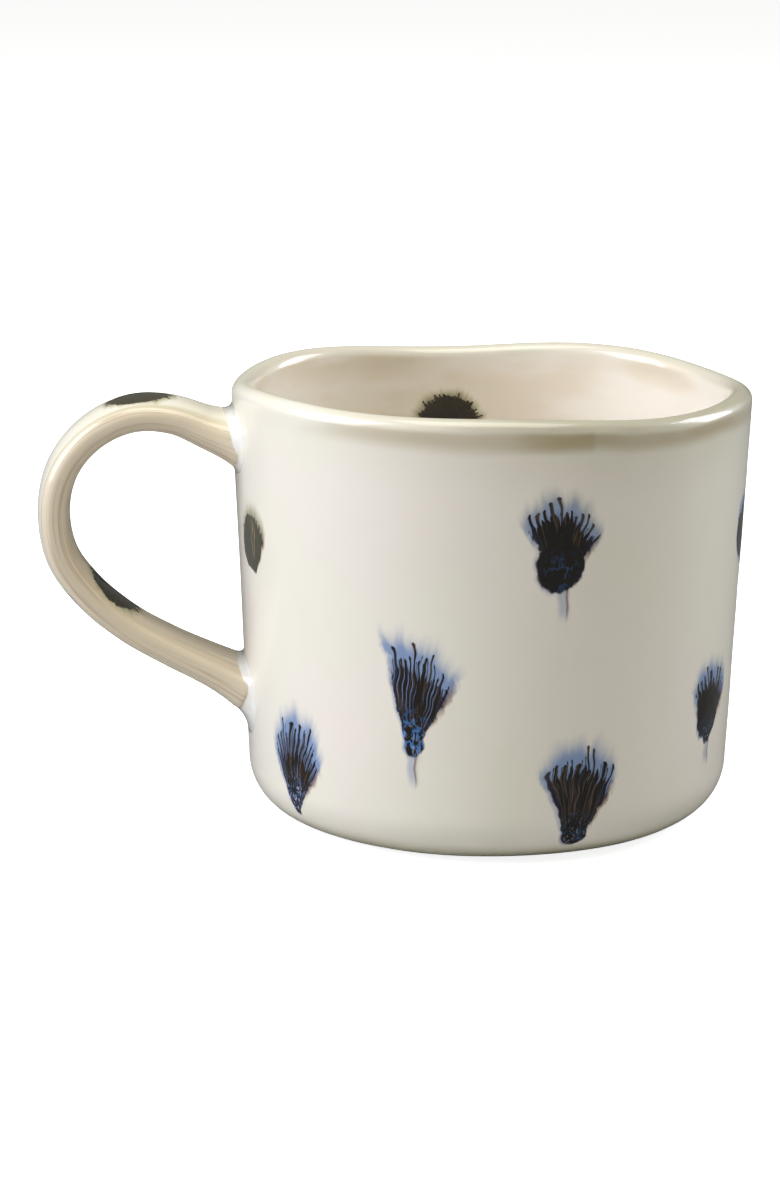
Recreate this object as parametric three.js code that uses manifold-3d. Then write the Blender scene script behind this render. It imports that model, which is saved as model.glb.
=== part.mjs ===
// A hand-made stoneware mug: a thrown vessel on a bare clay foot, a pulled strap handle luted
// to the wall with two slip welds, and separate dabs of reactive glaze melted onto the surface.
// Millimetres, +Z up. The origin is the centre of the flat underside of the foot, on the axis
// of the vessel. The handle points along -X and its middle plane is y = 0.
import * as THREE from 'three';
import { mergeVertices } from 'three/addons/utils/BufferGeometryUtils.js';
import Module from 'manifold-3d';

const wasm = await Module();
wasm.setup();

// Driving dimensions of the vessel.
const HEIGHT = 78.4;
const RIM_RADIUS = 47.5;
const LOW_WALL_RADIUS = 44.1;
const CORNER_HEIGHT = 9;
const BASE_RADIUS = 36.6;
const WALL = 4.2;
const FLOOR = 5;
const LIP_RADIUS = WALL / 2;

// Clearance kept between neighbouring pieces.
const GAP = 0.3;

// The bare foot, set in a shallow recess. The glazed edge round it stops just above the table.
const FOOT_HEIGHT = 1.2;
const FOOT_RADIUS = 35.4;
const FOOT_EDGE = 0.4;
const BASE_Z = FOOT_HEIGHT + GAP;
const EDGE_Z = 0.3;

// The strap handle: its middle line as distance outwards from the axis, and height.
const HANDLE_LINE = [
  [42.5, 67.8],
  [50.4, 70.3],
  [57.5, 73],
  [64.8, 73.2],
  [71.8, 70],
  [77, 64],
  [79, 56.5],
  [77.8, 47.8],
  [73, 40.6],
  [66.2, 34.6],
  [58.5, 30],
  [50.6, 26],
  [42.5, 21.6],
];
const STRAP_WIDTH = 15.5;
const STRAP_THICKNESS = 5.8;
const TOP_FLARE = { width: 5, thickness: 4.2, reach: 5 };
const LOW_FLARE = { width: 3.5, thickness: 2.6, reach: 5 };
const STRAP_SQUARENESS = 2.6;

// The strap and the welds are first made this much too long, then trimmed to the wall.
const STRAP_ROOT = 3;

// The slip welds spread this far round the strap where it meets the wall, and fade to a thin
// skin at this distance out along the strap.
const WELD_SPREAD = 3.2;
const WELD_REACH = 6.5;
const WELD_SKIN = 0.25;

// Mesh fineness.
const AROUND = 64;
const OUTSIDE_STEPS = 16;
const INSIDE_STEPS = 14;
const LIP_STEPS = 6;
const HANDLE_STEPS = 40;
const STRAP_SIDES = 16;
const WELD_STEPS = 6;
const MARK_SIDES = 16;
const MARK_RINGS = 3;

// The wall warps a little in drying and firing: each wave has a number of crests round the
// rim, a size in millimetres and the angle of a crest in degrees. The warp fades to nothing
// at the foot.
const RADIUS_WAVES = [
  { crests: 1, size: 0.34, angle: 0 },
  { crests: 3, size: 0.55, angle: 23 },
  { crests: 4, size: 0.38, angle: -48 },
];
const HEIGHT_WAVES = [
  { crests: 1, size: 1.22, angle: -132 },
  { crests: 2, size: 0.37, angle: 69 },
  { crests: 4, size: 0.27, angle: -36 },
  { crests: 5, size: 0.45, angle: -15 },
];
const WARP_FADE = 1.5;

// A dab of glaze: how far it stands off the surface at its edge and at its middle.
const MARK_EDGE = 0.12;
const MARK_CROWN = 0.4;

// Where the dabs are. On the vessel, angle is degrees round the axis from +X and up is the
// distance along the wall from the edge of the base. On the handle, along is the fraction of
// the strap's length from its upper end.
const OUTSIDE_MARKS = [
  { angle: -163, up: 55.6, width: 11, height: 12 },
  { angle: -145, up: 18.2, width: 13, height: 21 },
  { angle: -111, up: 32.9, width: 13, height: 29 },
  { angle: -80, up: 58.7, width: 13.5, height: 25 },
  { angle: -75, up: 16.5, width: 13.5, height: 19 },
  { angle: -35, up: 27.6, width: 11, height: 18 },
  { angle: -16, up: 57.8, width: 12, height: 15 },
  { angle: 8, up: 19.2, width: 12.5, height: 20 },
  { angle: 34, up: 37.2, width: 13, height: 26 },
  { angle: 62, up: 58.2, width: 12.5, height: 18 },
  { angle: 84, up: 17.2, width: 13, height: 21 },
  { angle: 112, up: 40.2, width: 12, height: 24 },
  { angle: 146, up: 21.2, width: 12, height: 19 },
];
const INSIDE_MARKS = [
  { angle: 94, up: 60.7, width: 13, height: 10.5 },
  { angle: -22, up: 40.2, width: 12, height: 14 },
  { angle: -118, up: 52.2, width: 12, height: 12 },
  { angle: 176, up: 36.2, width: 12, height: 14 },
];
const HANDLE_MARKS = [
  { along: 0.222, face: 1, width: 10.5, height: 9 },
  { along: 0.673, face: -1, width: 10.5, height: 12 },
  { along: 0.6, face: 1, width: 10, height: 13 },
];

// ---- materials ----

function fired(name, color, roughness) {
  return new THREE.MeshStandardMaterial({ name, color, roughness, metalness: 0 });
}

const creamGlaze = fired('cream_glaze', 0xe4ddd2, 0.32);
const handleGlaze = fired('handle_glaze', 0xd8cbb6, 0.34);
const weldGlaze = fired('weld_glaze', 0xefebe4, 0.28);
const bareClay = fired('bare_clay', 0xb39a7e, 0.85);
const blueGlaze = fired('blue_glaze', 0x2c3556, 0.25);

// ---- solids ----

function toSolid(geometry) {
  const bare = geometry.clone();
  bare.deleteAttribute('normal');
  bare.deleteAttribute('uv');
  const merged = mergeVertices(bare, 1e-4);
  const mesh = new wasm.Mesh({
    numProp: 3,
    vertProperties: Float32Array.from(merged.attributes.position.array),
    triVerts: Uint32Array.from(merged.index.array),
  });
  return new wasm.Manifold(mesh);
}

function toGeometry(solid) {
  const mesh = solid.getMesh();
  const geometry = new THREE.BufferGeometry();
  geometry.setAttribute('position', new THREE.BufferAttribute(mesh.vertProperties, 3));
  geometry.setIndex(new THREE.BufferAttribute(mesh.triVerts, 1));
  geometry.computeVertexNormals();
  return geometry;
}

// A closed body through a row of rings with equal numbers of points. Seen from the next ring,
// looking back, each ring runs anticlockwise. A fan from its own middle closes each end.
function loft(rings) {
  const sides = rings[0].length;
  const points = rings.flat();
  const faces = [];
  for (let row = 0; row + 1 < rings.length; row += 1) {
    for (let side = 0; side < sides; side += 1) {
      const a = row * sides + side;
      const b = row * sides + (side + 1) % sides;
      faces.push(a, b, b + sides, a, b + sides, a + sides);
    }
  }
  const lastRow = (rings.length - 1) * sides;
  const startHub = points.push(middleOf(rings[0])) - 1;
  const endHub = points.push(middleOf(rings[rings.length - 1])) - 1;
  for (let side = 0; side < sides; side += 1) {
    const next = (side + 1) % sides;
    faces.push(startHub, next, side);
    faces.push(endHub, lastRow + side, lastRow + next);
  }
  const geometry = new THREE.BufferGeometry().setFromPoints(points);
  geometry.setIndex(faces);
  geometry.computeVertexNormals();
  return geometry;
}

function middleOf(ring) {
  const sum = ring.reduce((total, point) => total.add(point), new THREE.Vector3());
  return sum.divideScalar(ring.length);
}

// ---- vessel ----

function waveSum(waves, theta) {
  const parts = waves.map(({ crests, size, angle }) => {
    return size * Math.cos(crests * (theta - THREE.MathUtils.degToRad(angle)));
  });
  return parts.reduce((total, part) => total + part, 0);
}

// The point at this angle, radius and height, moved by the warp of the fired wall.
function warped(theta, radius, z) {
  const share = Math.max(0, z / HEIGHT) ** WARP_FADE;
  const r = radius === 0 ? 0 : radius + share * waveSum(RADIUS_WAVES, theta);
  const lift = radius === 0 ? 0 : share * waveSum(HEIGHT_WAVES, theta);
  return new THREE.Vector3(r * Math.cos(theta), r * Math.sin(theta), z + lift);
}

// The outer wall from the edge of the base, round the soft corner, to the start of the lip.
function outsideLine() {
  const line = new THREE.Path();
  line.moveTo(BASE_RADIUS, EDGE_Z);
  const across = LOW_WALL_RADIUS - BASE_RADIUS;
  const rise = CORNER_HEIGHT - EDGE_Z;
  line.absellipse(BASE_RADIUS, CORNER_HEIGHT, across, rise, -Math.PI / 2, 0, false);
  line.lineTo(RIM_RADIUS, HEIGHT - LIP_RADIUS);
  return line;
}

// The inner wall from the edge of the flat floor to the start of the lip.
function insideLine() {
  const floorZ = BASE_Z + FLOOR;
  const across = LOW_WALL_RADIUS - BASE_RADIUS - WALL / 2;
  const lowRadius = LOW_WALL_RADIUS - WALL;
  const top = CORNER_HEIGHT + WALL / 2;
  const line = new THREE.Path();
  line.moveTo(lowRadius - across, floorZ);
  line.absellipse(lowRadius - across, top, across, top - floorZ, -Math.PI / 2, 0, false);
  line.lineTo(RIM_RADIUS - WALL, HEIGHT - LIP_RADIUS);
  return line;
}

function lipPoints() {
  const lip = new THREE.EllipseCurve(
    RIM_RADIUS - LIP_RADIUS, HEIGHT - LIP_RADIUS, LIP_RADIUS, LIP_RADIUS, 0, Math.PI);
  return lip.getPoints(LIP_STEPS).slice(1, -1);
}

// Spins a line of (radius, height) points that starts and ends on the axis, then warps it.
function spun(line) {
  const geometry = new THREE.LatheGeometry(line, AROUND);
  geometry.rotateX(Math.PI / 2);
  const place = geometry.attributes.position;
  for (let i = 0; i < place.count; i += 1) {
    const step = Math.floor(i / line.length) % AROUND;
    const theta = (step / AROUND) * 2 * Math.PI - Math.PI / 2;
    const { x, y } = line[i % line.length];
    const point = warped(theta, x, y);
    place.setXYZ(i, point.x, point.y, point.z);
  }
  geometry.computeVertexNormals();
  return geometry;
}

function vesselGeometry() {
  const outside = outsideLine().getSpacedPoints(OUTSIDE_STEPS);
  const inside = insideLine().getSpacedPoints(INSIDE_STEPS).reverse();
  const bottom = new THREE.Vector2(0, BASE_Z);
  const recessEdge = new THREE.Vector2(FOOT_RADIUS + GAP, BASE_Z);
  const floor = new THREE.Vector2(0, BASE_Z + FLOOR);
  return spun([bottom, recessEdge, ...outside, ...lipPoints(), ...inside, floor]);
}

// The outer shape of the vessel with no hollow, larger all round by the clearance, to trim
// whatever is pressed against the wall.
function vesselTrim() {
  const line = outsideLine();
  const steps = Array.from({ length: OUTSIDE_STEPS + 1 }, (_, i) => i / OUTSIDE_STEPS);
  const points = steps.map((t) => stoodOff(line, t, GAP));
  const bottom = new THREE.Vector2(0, points[0].y);
  const top = new THREE.Vector2(0, HEIGHT);
  return toSolid(spun([bottom, ...points, new THREE.Vector2(RIM_RADIUS, HEIGHT), top]));
}

// A point on a line, moved square to it. A positive distance is outwards for a line that
// climbs the outer wall.
function stoodOff(line, t, distance) {
  const point = line.getPoint(t);
  const along = line.getTangent(t);
  return new THREE.Vector2(point.x + along.y * distance, point.y - along.x * distance);
}

function footGeometry() {
  const line = [
    new THREE.Vector2(0, 0),
    new THREE.Vector2(FOOT_RADIUS - FOOT_EDGE, 0),
    new THREE.Vector2(FOOT_RADIUS, FOOT_EDGE),
    new THREE.Vector2(FOOT_RADIUS, FOOT_HEIGHT),
    new THREE.Vector2(0, FOOT_HEIGHT),
  ];
  const geometry = new THREE.LatheGeometry(line, AROUND);
  geometry.rotateX(Math.PI / 2);
  return geometry;
}

// ---- handle ----

const handleCurve = new THREE.CatmullRomCurve3(
  HANDLE_LINE.map(([out, z]) => new THREE.Vector3(-out, 0, z)), false, 'centripetal');
const handleLength = handleCurve.getLength();

function flareAt(along) {
  const fromTop = Math.max(0, along * handleLength - STRAP_ROOT);
  const fromLow = Math.max(0, (1 - along) * handleLength - STRAP_ROOT);
  const top = Math.exp(-fromTop / TOP_FLARE.reach);
  const low = Math.exp(-fromLow / LOW_FLARE.reach);
  return {
    width: top * TOP_FLARE.width + low * LOW_FLARE.width,
    thickness: top * TOP_FLARE.thickness + low * LOW_FLARE.thickness,
  };
}

// Half the strap's width and half its thickness at a fraction of its length.
function strapHalves(along) {
  const flare = flareAt(along);
  return {
    wide: (STRAP_WIDTH + flare.width) / 2,
    thick: (STRAP_THICKNESS + flare.thickness) / 2,
  };
}

// The strap's middle line, its sideways direction and the direction away from the hand hole.
function strapFrame(along) {
  const centre = handleCurve.getPointAt(along);
  const tangent = handleCurve.getTangentAt(along);
  const side = new THREE.Vector3(0, -1, 0);
  const away = new THREE.Vector3().crossVectors(tangent, side).normalize();
  return { centre, side, away };
}

function strapRing(along, margin) {
  const { centre, side, away } = strapFrame(along);
  const { wide, thick } = strapHalves(along);
  const ring = [];
  for (let i = 0; i < STRAP_SIDES; i += 1) {
    const turn = (i / STRAP_SIDES) * 2 * Math.PI;
    const across = rounded(Math.cos(turn)) * (wide + margin);
    const out = rounded(Math.sin(turn)) * (thick + margin);
    ring.push(centre.clone().addScaledVector(side, across).addScaledVector(away, out));
  }
  return ring;
}

function rounded(value) {
  return Math.sign(value) * Math.abs(value) ** (2 / STRAP_SQUARENESS);
}

function strapSolid(margin) {
  const rings = [];
  for (let i = 0; i <= HANDLE_STEPS; i += 1) {
    rings.push(strapRing(i / HANDLE_STEPS, margin));
  }
  return toSolid(loft(rings));
}

function handleGeometry(trim) {
  return toGeometry(strapSolid(0).subtract(trim));
}

// The fillet of slip round one end of the strap, with the strap's own room cut out of it.
function weldGeometry(fromTop, trim, strapRoom) {
  const rings = [];
  const reach = (STRAP_ROOT + WELD_REACH) / handleLength;
  for (let i = 0; i <= WELD_STEPS; i += 1) {
    const share = i / WELD_STEPS;
    const along = fromTop ? share * reach : 1 - (1 - share) * reach;
    const outward = fromTop ? share : 1 - share;
    rings.push(strapRing(along, GAP + WELD_SKIN + WELD_SPREAD * (1 - outward) ** 2));
  }
  return toGeometry(toSolid(loft(rings)).subtract(trim).subtract(strapRoom));
}

// ---- dabs of glaze ----

// A thin dab with an egg-shaped outline, wide above and narrow below. place(x, y, lift) gives
// the point x millimetres sideways and y up from the dab's middle, at this lift off the skin.
function markGeometry(width, height, place) {
  const top = [];
  const under = [];
  for (let ring = 1; ring <= MARK_RINGS; ring += 1) {
    const share = ring / MARK_RINGS;
    const lift = MARK_EDGE + (MARK_CROWN - MARK_EDGE) * (1 - share ** 2);
    const row = [];
    const lowRow = [];
    for (let i = 0; i < MARK_SIDES; i += 1) {
      const turn = (i / MARK_SIDES) * 2 * Math.PI;
      const narrowing = 0.66 + 0.34 * Math.sin(turn);
      const x = share * Math.cos(turn) * narrowing * width / 2;
      const y = share * Math.sin(turn) * height / 2;
      row.push(place(x, y, GAP + lift));
      lowRow.push(place(x, y, GAP));
    }
    top.push(row);
    under.push(lowRow);
  }
  return loftBetween(under, top, place(0, 0, GAP), place(0, 0, GAP + MARK_CROWN));
}

// Closes the rings of the underside and of the top into one body, with a hub for each.
function loftBetween(under, top, underHub, topHub) {
  const rings = [...under, ...top.reverse()];
  const geometry = loft(rings);
  const place = geometry.attributes.position;
  place.setXYZ(place.count - 2, underHub.x, underHub.y, underHub.z);
  place.setXYZ(place.count - 1, topHub.x, topHub.y, topHub.z);
  geometry.computeVertexNormals();
  return geometry;
}

// Places a dab on a wall line of the vessel; side is 1 for the outside and -1 for the inside.
function onWall(line, side, mark) {
  const length = line.getLength();
  return (x, y, lift) => {
    const point = stoodOff(line, (mark.up + y) / length, side * lift);
    const sweep = side * x / point.x;
    return warped(THREE.MathUtils.degToRad(mark.angle) + sweep, point.x, point.y);
  };
}

// Places a dab on the strap; face is 1 for the outer face and -1 for the one in the hand hole.
function onStrap(mark) {
  return (x, y, lift) => {
    const along = mark.along + mark.face * y / handleLength;
    const { centre, side, away } = strapFrame(along);
    const { wide, thick } = strapHalves(along);
    const share = Math.min(1, Math.abs(x) / wide);
    const skin = thick * (1 - share ** STRAP_SQUARENESS) ** (1 / STRAP_SQUARENESS);
    const out = mark.face * (skin + lift);
    return centre.clone().addScaledVector(side, -x).addScaledVector(away, out);
  };
}

// ---- assembly ----

const mug = new THREE.Group();
mug.name = 'stoneware_mug';

function add(name, geometry, material) {
  const mesh = new THREE.Mesh(geometry, material);
  mesh.name = name;
  mug.add(mesh);
}

const trim = vesselTrim();
const strapRoom = strapSolid(GAP);
add('vessel', vesselGeometry(), creamGlaze);
add('foot', footGeometry(), bareClay);
add('handle', handleGeometry(trim), handleGlaze);
add('upper_weld', weldGeometry(true, trim, strapRoom), weldGlaze);
add('lower_weld', weldGeometry(false, trim, strapRoom), weldGlaze);

OUTSIDE_MARKS.forEach((mark, i) => {
  const place = onWall(outsideLine(), 1, mark);
  add(`wall_mark_${i + 1}`, markGeometry(mark.width, mark.height, place), blueGlaze);
});
INSIDE_MARKS.forEach((mark, i) => {
  const place = onWall(insideLine(), -1, mark);
  add(`inside_mark_${i + 1}`, markGeometry(mark.width, mark.height, place), blueGlaze);
});
HANDLE_MARKS.forEach((mark, i) => {
  add(`handle_mark_${i + 1}`, markGeometry(mark.width, mark.height, onStrap(mark)), blueGlaze);
});

export default mug;
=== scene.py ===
"""A hand-made stoneware mug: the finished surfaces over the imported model.

Shapes are worked out in millimetres, in the model's frame, and placed in metres. The vessel,
the foot, the strap handle and its two welds are new meshes on the model's own dimensions. Each
dab of glaze is a thin patch of skin that follows the surface under it, and its feathered
pattern is painted in the patch's own coordinates.
"""
import bisect
import math

import bmesh
import bpy
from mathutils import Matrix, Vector, noise


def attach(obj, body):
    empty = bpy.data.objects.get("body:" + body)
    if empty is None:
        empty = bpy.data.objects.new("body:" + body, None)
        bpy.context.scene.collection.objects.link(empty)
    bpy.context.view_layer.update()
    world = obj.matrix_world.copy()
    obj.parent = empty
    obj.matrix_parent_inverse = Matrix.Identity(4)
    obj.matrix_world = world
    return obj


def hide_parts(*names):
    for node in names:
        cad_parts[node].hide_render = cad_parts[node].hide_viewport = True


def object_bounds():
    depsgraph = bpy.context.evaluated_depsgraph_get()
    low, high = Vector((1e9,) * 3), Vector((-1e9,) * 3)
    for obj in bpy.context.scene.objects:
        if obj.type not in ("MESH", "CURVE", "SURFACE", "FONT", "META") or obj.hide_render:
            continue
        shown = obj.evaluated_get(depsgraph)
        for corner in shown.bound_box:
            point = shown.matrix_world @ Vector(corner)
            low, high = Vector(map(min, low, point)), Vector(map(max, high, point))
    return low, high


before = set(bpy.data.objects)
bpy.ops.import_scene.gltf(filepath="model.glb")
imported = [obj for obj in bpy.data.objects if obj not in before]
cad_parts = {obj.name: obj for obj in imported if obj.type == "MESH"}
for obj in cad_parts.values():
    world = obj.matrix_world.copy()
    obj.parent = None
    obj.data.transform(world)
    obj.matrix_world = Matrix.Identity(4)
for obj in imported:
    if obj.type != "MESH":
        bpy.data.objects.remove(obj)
cad_low, cad_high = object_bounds()

MM = 0.001

# The vessel, in millimetres.
HEIGHT = 78.4
RIM_RADIUS = 47.5
LOW_WALL_RADIUS = 44.1
CORNER_HEIGHT = 9.0
BASE_RADIUS = 36.6
WALL = 4.2
FLOOR = 5.0
LIP_RADIUS = WALL / 2
FOOT_HEIGHT = 1.2
FOOT_RADIUS = 35.4
GAP = 0.3
BASE_Z = FOOT_HEIGHT + GAP
EDGE_Z = 0.3

# The warp of the fired wall: crests round the rim, size in millimetres, angle of a crest.
RADIUS_WAVES = ((1, 0.34, 0), (3, 0.55, 23), (4, 0.38, -48))
HEIGHT_WAVES = ((1, 1.22, -132), (2, 0.37, 69), (4, 0.27, -36), (5, 0.45, -15))
WARP_FADE = 1.5

# The hand of the potter in the surface: slow swells and a finer ripple.
SWELL = 0.14
SWELL_SPACING = 26.0
RIPPLE = 0.025
RIPPLE_SPACING = 8.0

# The strap handle: its middle line as distance outwards from the axis, and height.
HANDLE_LINE = (
    (42.5, 67.8), (50.4, 70.3), (57.5, 73), (64.8, 73.2), (71.8, 70), (77, 64), (79, 56.5),
    (77.8, 47.8), (73, 40.6), (66.2, 34.6), (58.5, 30), (50.6, 26), (42.5, 21.6),
)
STRAP_WIDTH = 15.5
STRAP_THICKNESS = 5.8
STRAP_SQUARENESS = 2.6
TOP_FLARE = (5.0, 4.2, 5.0)
LOW_FLARE = (3.5, 2.6, 5.0)
STRAP_ROOT = 3.0
STRAP_BURIED = 2.0
STRAP_RIDGE = 0.16

# The welds: how far each fillet spreads on the wall and reaches along the strap, and how much
# further the low one goes on the outer side, where its slip has sagged.
WELD_SPREAD = 1.9
WELD_REACH = 2.1
SAG_SPREAD = 2.6
SAG_REACH = 2.4
WELD_SUNK = -0.04
WELD_ROOT = 1.2
WELD_ROOT_DEPTH = -0.8
ROOT_SEARCH = 14.0

# The foot: its softened edge and the faint rings that turning leaves.
FOOT_RINGS = 26
FOOT_EDGE = 0.5
TURNING_DEPTH = 0.025
TURNING_PITCH = 1.9

# How fine the meshes are.
AROUND = 256
LIP_STEP = 0.35
WALL_STEP = 0.9
STRAP_SIDES = 72
STRAP_RINGS = 170
WELD_SIDES = 96
WELD_STEPS = 10
PATCH_STEP = 0.4
PATCH_LIFT = 0.03
PATCH_DIP = -0.06
PATCH_NUDGE = 0.3

BODY = "root"


# ---- lines and surfaces ----

class Line:
    """A line of flat points, read by the distance along it."""

    def __init__(self, points):
        self.points = [Vector(point) for point in points]
        self.stations = [0.0]
        for start, end in zip(self.points, self.points[1:]):
            self.stations.append(self.stations[-1] + (end - start).length)
        self.length = self.stations[-1]

    def at(self, distance):
        index = bisect.bisect(self.stations, distance) - 1
        index = min(max(index, 0), len(self.points) - 2)
        span = self.stations[index + 1] - self.stations[index]
        share = (distance - self.stations[index]) / span
        return self.points[index].lerp(self.points[index + 1], share)

    def square(self, distance, reach=0.25):
        """The direction square to the line, on its right hand."""
        step = self.at(distance + reach) - self.at(distance - reach)
        return Vector((step.y, -step.x)).normalized()


def arc(centre, across, rise, start, end, count=48):
    """Points of part of an ellipse, between two angles in degrees."""
    points = []
    for i in range(count + 1):
        angle = math.radians(start + (end - start) * i / count)
        points.append((centre[0] + across * math.cos(angle),
                       centre[1] + rise * math.sin(angle)))
    return points


def section_points():
    """The vessel's section, from the middle of the base to the middle of the floor."""
    recess = [(0, BASE_Z), (FOOT_RADIUS + GAP, BASE_Z)]
    outer = arc((BASE_RADIUS, CORNER_HEIGHT), LOW_WALL_RADIUS - BASE_RADIUS,
                CORNER_HEIGHT - EDGE_Z, -90, 0)
    lip = arc((RIM_RADIUS - LIP_RADIUS, HEIGHT - LIP_RADIUS), LIP_RADIUS, LIP_RADIUS, 0, 180)
    floor_z = BASE_Z + FLOOR
    across = LOW_WALL_RADIUS - BASE_RADIUS - WALL / 2
    top = CORNER_HEIGHT + WALL / 2
    inner = arc((LOW_WALL_RADIUS - WALL - across, top), across, top - floor_z, 0, -90)
    return recess + outer + lip + inner + [(0, floor_z)]


SECTION = Line(section_points())
LIP_TOP = SECTION.stations[max(range(len(SECTION.points)), key=lambda i: SECTION.points[i].y)]
EDGE_STATION = SECTION.stations[2]


def wave_sum(waves, theta):
    return sum(size * math.cos(crests * (theta - math.radians(angle)))
               for crests, size, angle in waves)


def warped(theta, radius, z):
    share = max(0.0, z / HEIGHT) ** WARP_FADE * min(1.0, radius / BASE_RADIUS)
    r = radius + share * wave_sum(RADIUS_WAVES, theta)
    return Vector((r * math.cos(theta), r * math.sin(theta),
                   z + share * wave_sum(HEIGHT_WAVES, theta)))


def unevenness(place):
    return (SWELL * noise.noise(place / SWELL_SPACING)
            + RIPPLE * noise.noise(place / RIPPLE_SPACING))


def skin(theta, station, lift=0.0):
    """A point of the vessel's skin at this angle and distance along the section."""
    at = SECTION.at(station)
    out = SECTION.square(station)
    place = Vector((at.x * math.cos(theta), at.x * math.sin(theta), at.y))
    off = lift + unevenness(place) * min(1.0, max(0.0, at.x) / BASE_RADIUS)
    return warped(theta, at.x + out.x * off, at.y + out.y * off)


def station_at_height(z, inside):
    """The station on the outer or inner wall at this height."""
    low, high = (LIP_TOP, SECTION.length) if inside else (EDGE_STATION, LIP_TOP)
    for _ in range(40):
        middle = (low + high) / 2
        above = SECTION.at(middle).y > z
        if above == inside:
            low = middle
        else:
            high = middle
    return (low + high) / 2


def through(points, steps=12):
    """A centripetal Catmull-Rom curve through flat points."""
    points = [Vector(point) for point in points]
    first = points[0] * 2 - points[1]
    last = points[-1] * 2 - points[-2]
    ring = [first] + points + [last]
    curve = []
    for p0, p1, p2, p3 in zip(ring, ring[1:], ring[2:], ring[3:]):
        t1 = math.sqrt((p1 - p0).length)
        t2 = t1 + math.sqrt((p2 - p1).length)
        t3 = t2 + math.sqrt((p3 - p2).length)
        for i in range(steps):
            t = t1 + (t2 - t1) * i / steps
            a1 = p0.lerp(p1, t / t1)
            a2 = p1.lerp(p2, (t - t1) / (t2 - t1))
            a3 = p2.lerp(p3, (t - t2) / (t3 - t2))
            b1 = a1.lerp(a2, t / t2)
            b2 = a2.lerp(a3, (t - t1) / (t3 - t1))
            curve.append(b1.lerp(b2, (t - t1) / (t2 - t1)))
    return curve + [points[-1]]


STRAP = Line(through(HANDLE_LINE))


def strap_halves(station):
    """Half the strap's width and half its thickness."""
    top = math.exp(-max(0.0, station - STRAP_ROOT) / TOP_FLARE[2])
    low = math.exp(-max(0.0, STRAP.length - station - STRAP_ROOT) / LOW_FLARE[2])
    wide = STRAP_WIDTH + top * TOP_FLARE[0] + low * LOW_FLARE[0]
    thick = STRAP_THICKNESS + top * TOP_FLARE[1] + low * LOW_FLARE[1]
    return wide / 2, thick / 2


def strap_place(station, across, off):
    """A point beside the strap's middle line; a positive off is away from the hand hole."""
    at = STRAP.at(station)
    away = -STRAP.square(station, 0.8)
    return Vector((-(at.x + away.x * off), across, at.y + away.y * off))


def rounded(value):
    return math.copysign(abs(value) ** (2 / STRAP_SQUARENESS), value)


def pulled(turn, station):
    """The lengthwise ridges that pulling the clay leaves."""
    place = Vector((2.6 * math.cos(turn), 2.6 * math.sin(turn), station / 38.0))
    return STRAP_RIDGE * noise.noise(place)


def strap_skin(turn, station, lift=0.0):
    """A point of the strap's skin; turn goes round it from its -Y edge over the outer face."""
    wide, thick = strap_halves(station)
    off = lift + pulled(turn, station)
    across = -rounded(math.cos(turn)) * (wide + off)
    return strap_place(station, across, rounded(math.sin(turn)) * (thick + off))


# ---- mesh making ----

def finish_piece(name, mesh_maker, material, node):
    """Makes the object of a mesh, gives it its material and body, and hides the CAD node's part."""
    mesh = bpy.data.meshes.new(name)
    mesh_maker.to_mesh(mesh)
    mesh_maker.free()
    for face in mesh.polygons:
        face.use_smooth = True
    mesh.materials.append(material)
    piece = bpy.data.objects.new(name, mesh)
    bpy.context.scene.collection.objects.link(piece)
    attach(piece, BODY)
    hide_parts(node)
    return piece


def section_stations():
    """Stations for the vessel's rings: close on the lip and corners, wider on the walls."""
    stations = []
    station = 0.0
    while station < SECTION.length:
        stations.append(station)
        near_lip = abs(station - LIP_TOP) < LIP_RADIUS * 2.5
        station += LIP_STEP if near_lip else WALL_STEP
    return stations + [SECTION.length]


def spun_mesh(line, stations):
    """Spins flat points round the vertical axis; each vertex keeps its station."""
    bm = bmesh.new()
    layer = bm.verts.layers.float.new("station")
    last = None
    for (radius, z), station in zip(line, stations):
        vert = bm.verts.new((radius, 0, z))
        vert[layer] = station
        if last:
            bm.edges.new((last, vert))
        last = vert
    bmesh.ops.spin(bm, geom=bm.verts[:] + bm.edges[:], cent=(0, 0, 0), axis=(0, 0, 1),
                   angle=math.tau, steps=AROUND, use_merge=True)
    bmesh.ops.remove_doubles(bm, verts=bm.verts, dist=1e-5)
    return bm, layer


def make_vessel(material):
    stations = section_stations()
    bm, layer = spun_mesh([SECTION.at(station)[:] for station in stations], stations)
    for vert in bm.verts:
        theta = math.atan2(vert.co.y, vert.co.x)
        station = vert[layer]
        vert.co = skin(theta, station) * MM
        vert[layer] = station - LIP_TOP
    bmesh.ops.recalc_face_normals(bm, faces=bm.faces)
    return finish_piece("vessel_skin", bm, material, "vessel")


def make_foot(material):
    """The bare foot: a turned disc with a softened edge and faint turning rings."""
    flat = FOOT_RADIUS - FOOT_EDGE
    line = [(0.0, 0.0)]
    for i in range(1, FOOT_RINGS):
        radius = flat * i / FOOT_RINGS
        line.append((radius, TURNING_DEPTH * (1 - math.cos(radius * TURNING_PITCH))))
    line += [(flat, 0.0), (FOOT_RADIUS - 0.15, 0.12), (FOOT_RADIUS, 0.45),
             (FOOT_RADIUS, FOOT_HEIGHT), (0.0, FOOT_HEIGHT)]
    bm, _ = spun_mesh(line, [0.0] * len(line))
    bmesh.ops.scale(bm, vec=(MM, MM, MM), verts=bm.verts)
    bmesh.ops.recalc_face_normals(bm, faces=bm.faces)
    return finish_piece("foot_disc", bm, material, "foot")


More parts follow.
